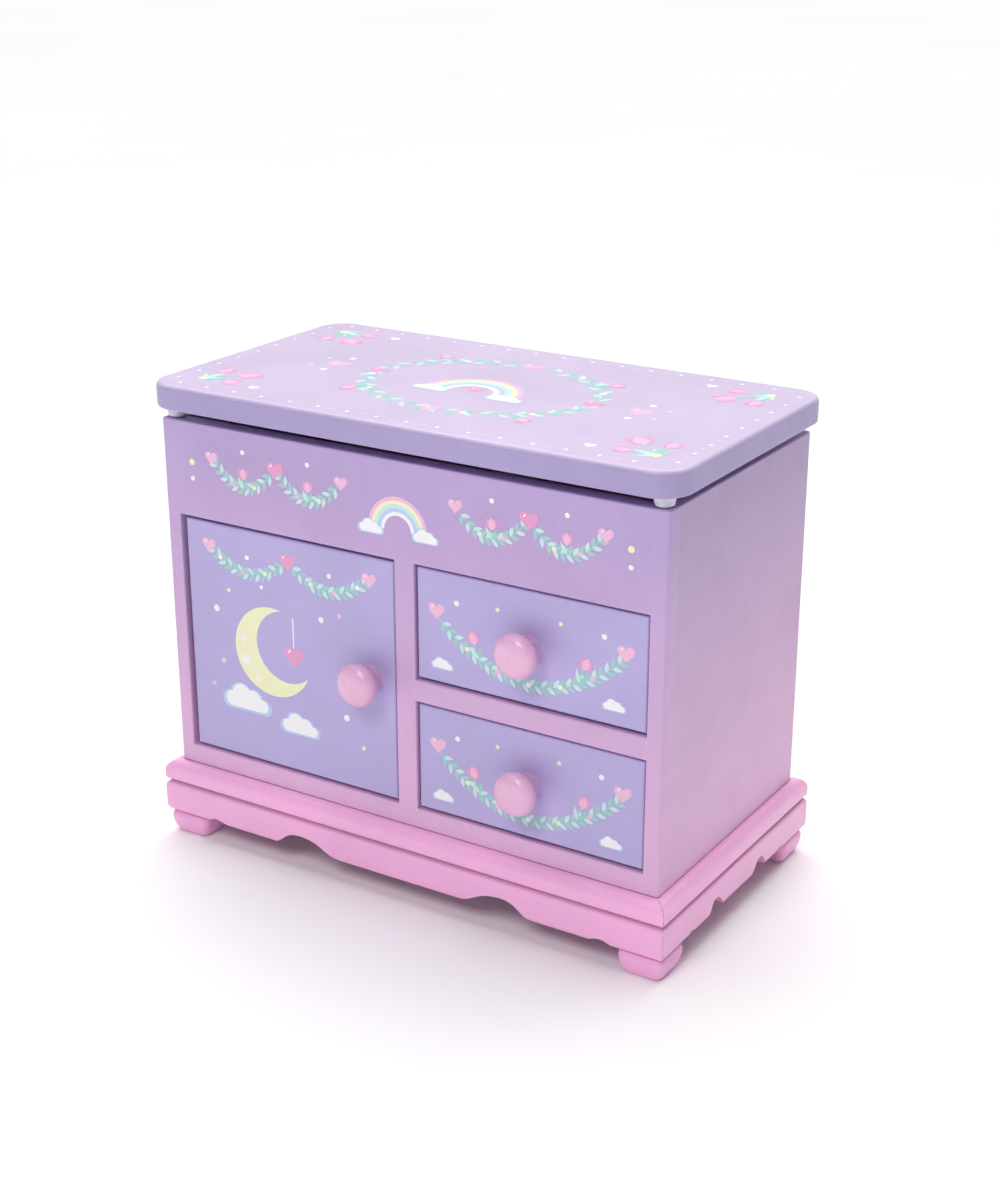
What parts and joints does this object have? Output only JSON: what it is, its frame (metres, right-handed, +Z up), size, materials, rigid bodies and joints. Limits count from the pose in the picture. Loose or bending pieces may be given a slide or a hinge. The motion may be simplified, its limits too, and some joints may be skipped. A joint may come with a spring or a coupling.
{
  "type": "musical jewellery box",
  "caption": "Painted wooden jewellery box on a scalloped plinth: hinged lid over a tray, pivoted door before a musical dancer, and drawers with round knobs.",
  "frame": {"origin": "on the floor, under the middle of the overall box", "axes": "+Z up, the door and drawers face -Y, +X to the right as seen from the front"},
  "size_m": [0.2114, 0.1223, 0.1756],
  "materials": {
    "cabinet_paint": "satin paint on wood",
    "lid_paint": "satin paint on wood",
    "front_paint": "satin paint on wood",
    "plinth_paint": "satin paint on wood",
    "knob_paint": "satin paint on turned wood",
    "inner_paint": "matt paint on wood",
    "felt": "flocked felt",
    "roll_cloth": "velvet over padding",
    "brass": "plated, bright",
    "steel": "plain",
    "cast_bed": "die cast",
    "mirror": "silvered",
    "clear_bumper": "clear, soft",
    "catch_plastic": "moulded",
    "figure_plastic": "painted",
    "tulle": "net, layered"
  },
  "bodies": {
    "cabinet": {"front_top_panel": "cabinet_paint", "left_stile": "cabinet_paint", "centre_stile": "cabinet_paint", "right_stile": "cabinet_paint", "mid_rail": "cabinet_paint", "bottom_rail": "cabinet_paint", "left_side_panel": "cabinet_paint", "right_side_panel": "cabinet_paint", "back_panel": "cabinet_paint", "floor_board": "cabinet_paint", "tray_floor": "cabinet_paint", "partition": "cabinet_paint", "drawer_shelf": "cabinet_paint", "plinth_mouldings": "plinth_paint", "apron_front": "plinth_paint", "apron_right": "plinth_paint", "apron_back": "plinth_paint", "apron_left": "plinth_paint", "feet": "plinth_paint", "hinge_body_leaves": "brass", "hinge_pins": "brass", "hinge_body_screws": "brass", "door_magnet_catch": "catch_plastic", "tray_lining": "felt", "tray_divider": "inner_paint", "ring_rolls": "roll_cloth", "stage_board": "inner_paint", "stage_front": "inner_paint", "niche_mirror": "mirror", "movement_bedplate": "cast_bed", "comb": "steel", "governor_bracket": "cast_bed", "movement_screws": "steel"},
    "lid": {"lid_panel": "lid_paint", "lid_mirror": "mirror", "hinge_lid_leaves": "brass", "hinge_lid_screws": "brass", "lid_bumpers": "clear_bumper"},
    "door": {"door_panel": "front_paint", "door_knob": "knob_paint", "door_pivot_pins": "brass", "door_strike_plate": "steel"},
    "upper_drawer": {"upper_drawer_front": "front_paint", "upper_drawer_knob": "knob_paint", "upper_drawer_walls": "inner_paint", "upper_drawer_bottom": "inner_paint", "upper_drawer_lining": "felt"},
    "lower_drawer": {"lower_drawer_front": "front_paint", "lower_drawer_knob": "knob_paint", "lower_drawer_walls": "inner_paint", "lower_drawer_bottom": "inner_paint", "lower_drawer_lining": "felt"},
    "spring_barrel": {"spring_barrel": "brass", "turntable": "steel", "ballerina_figure": "figure_plastic", "ballerina_tutu": "tulle"},
    "winding_key": {"winding_key": "brass"},
    "cylinder": {"pinned_cylinder": "brass"},
    "governor_wheel": {"governor_wheel": "brass"},
    "governor_fly": {"governor_fly": "brass"}
  },
  "joints": [
    {"name": "lid_hinge", "type": "hinge", "parent": "cabinet", "child": "lid", "pos_m": [0, 0.0581, 0.1644], "axis": [-1, 0, 0], "range_deg": [0, 95]},
    {"name": "door_pivot", "type": "hinge", "parent": "cabinet", "child": "door", "pos_m": [-0.0893, -0.0453, 0.0367], "axis": [0, 0, -1], "range_deg": [0, 100]},
    {"name": "upper_drawer_slide", "type": "slide", "parent": "cabinet", "child": "upper_drawer", "axis": [0, -1, 0], "range_m": [0, 0.065]},
    {"name": "lower_drawer_slide", "type": "slide", "parent": "cabinet", "child": "lower_drawer", "axis": [0, -1, 0], "range_m": [0, 0.065]},
    {"name": "key_turn", "type": "hinge", "parent": "cabinet", "child": "winding_key", "pos_m": [-0.04795, 0.0017, 0.0294], "axis": [0, 0, 1], "continuous": true},
    {"name": "turntable_turn", "type": "hinge", "parent": "cabinet", "child": "spring_barrel", "pos_m": [-0.04795, 0.0017, 0.0397], "axis": [0, 0, 1], "continuous": true},
    {"name": "cylinder_turn", "type": "hinge", "parent": "cabinet", "child": "cylinder", "pos_m": [-0.03055, 0.0017, 0.05255], "axis": [1, 0, 0], "continuous": true},
    {"name": "governor_wheel_turn", "type": "hinge", "parent": "cabinet", "child": "governor_wheel", "pos_m": [-0.01175, 0.0112, 0.05255], "axis": [1, 0, 0], "continuous": true},
    {"name": "fly_turn", "type": "hinge", "parent": "cabinet", "child": "governor_fly", "pos_m": [-0.01095, 0.01775, 0.0392], "axis": [0, 0, 1], "continuous": true}
  ],
  "couplings": [
    {"joint": "cylinder_turn", "follows": "turntable_turn", "ratio": 3},
    {"joint": "governor_wheel_turn", "follows": "turntable_turn", "ratio": -11.25},
    {"joint": "fly_turn", "follows": "turntable_turn", "ratio": 90}
  ]
}
